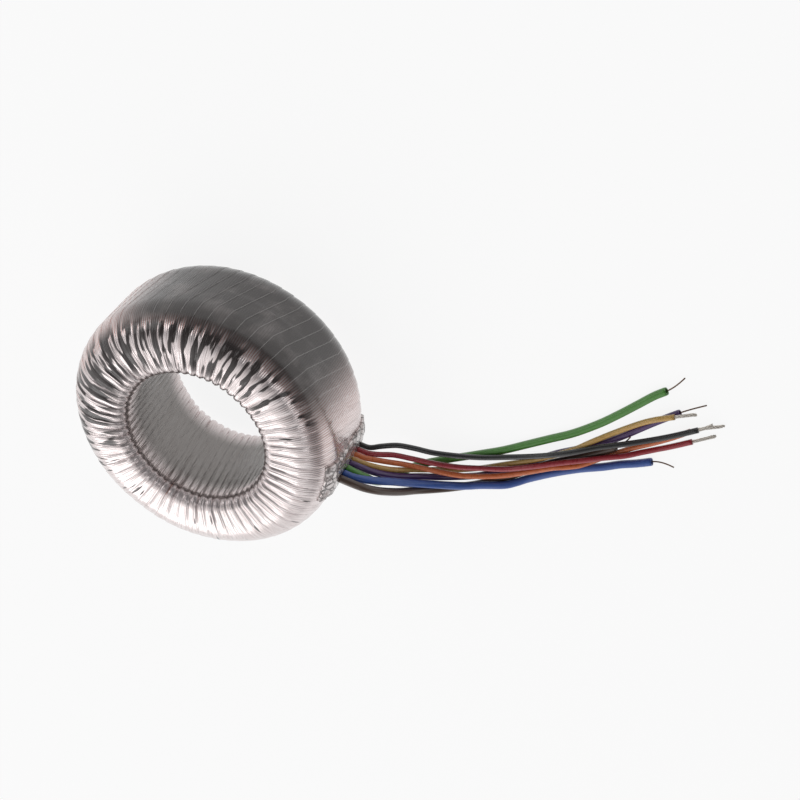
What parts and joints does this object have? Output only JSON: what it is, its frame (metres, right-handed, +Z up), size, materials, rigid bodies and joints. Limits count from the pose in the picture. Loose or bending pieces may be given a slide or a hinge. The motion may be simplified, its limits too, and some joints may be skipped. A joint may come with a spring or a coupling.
{
  "type": "toroidal transformer",
  "caption": "Toroidal power transformer: film-wrapped ring with stacked windings on a strip-wound core, and coloured free leads that leave under tape on the rim.",
  "frame": {"origin": "on the surface under the middle of the ring's lower face, with the free leads left out of account", "axes": "+Z up along the axis of the ring, +X from the ring's middle towards the lead exit on its rim"},
  "size_m": [0.1723, 0.0961, 0.0363],
  "materials": {
    "core_steel": "strip-wound silicon steel",
    "padding": "wound crepe paper, matt",
    "enamelled_copper": "enamelled copper wire, glossy",
    "barrier_film": "clear polyester film",
    "clear_film": "clear polyester film over copper, glossy and pleated",
    "tape": "clear adhesive tape, crumpled",
    "black_insulation": "PVC, satin",
    "red_insulation": "PVC, satin",
    "orange_insulation": "PVC, satin",
    "yellow_insulation": "PVC, satin",
    "purple_insulation": "sleeving, satin",
    "green_insulation": "sleeving, satin",
    "blue_insulation": "sleeving, satin",
    "brown_insulation": "sleeving, satin",
    "tinned_strands": "twisted tinned copper strands",
    "winding_wire": "enamelled copper wire"
  },
  "bodies": {
    "root": {"core": "core_steel", "core_insulation": "padding", "primary_winding_1": "enamelled_copper", "primary_winding_2": "enamelled_copper", "winding_barrier": "barrier_film", "secondary_winding_1": "enamelled_copper", "secondary_winding_2": "enamelled_copper", "film_wrap": "clear_film", "lead_exit_tape": "tape", "black_lead": "black_insulation", "red_lead": "red_insulation", "orange_lead": "orange_insulation", "yellow_lead": "yellow_insulation", "purple_sleeve": "purple_insulation", "green_sleeve": "green_insulation", "blue_sleeve": "blue_insulation", "brown_sleeve": "brown_insulation", "black_conductor": "tinned_strands", "red_conductor": "tinned_strands", "orange_conductor": "tinned_strands", "yellow_conductor": "tinned_strands", "purple_wire": "winding_wire", "green_wire": "winding_wire", "blue_wire": "winding_wire", "brown_wire": "winding_wire"}
  },
  "joints": []
}
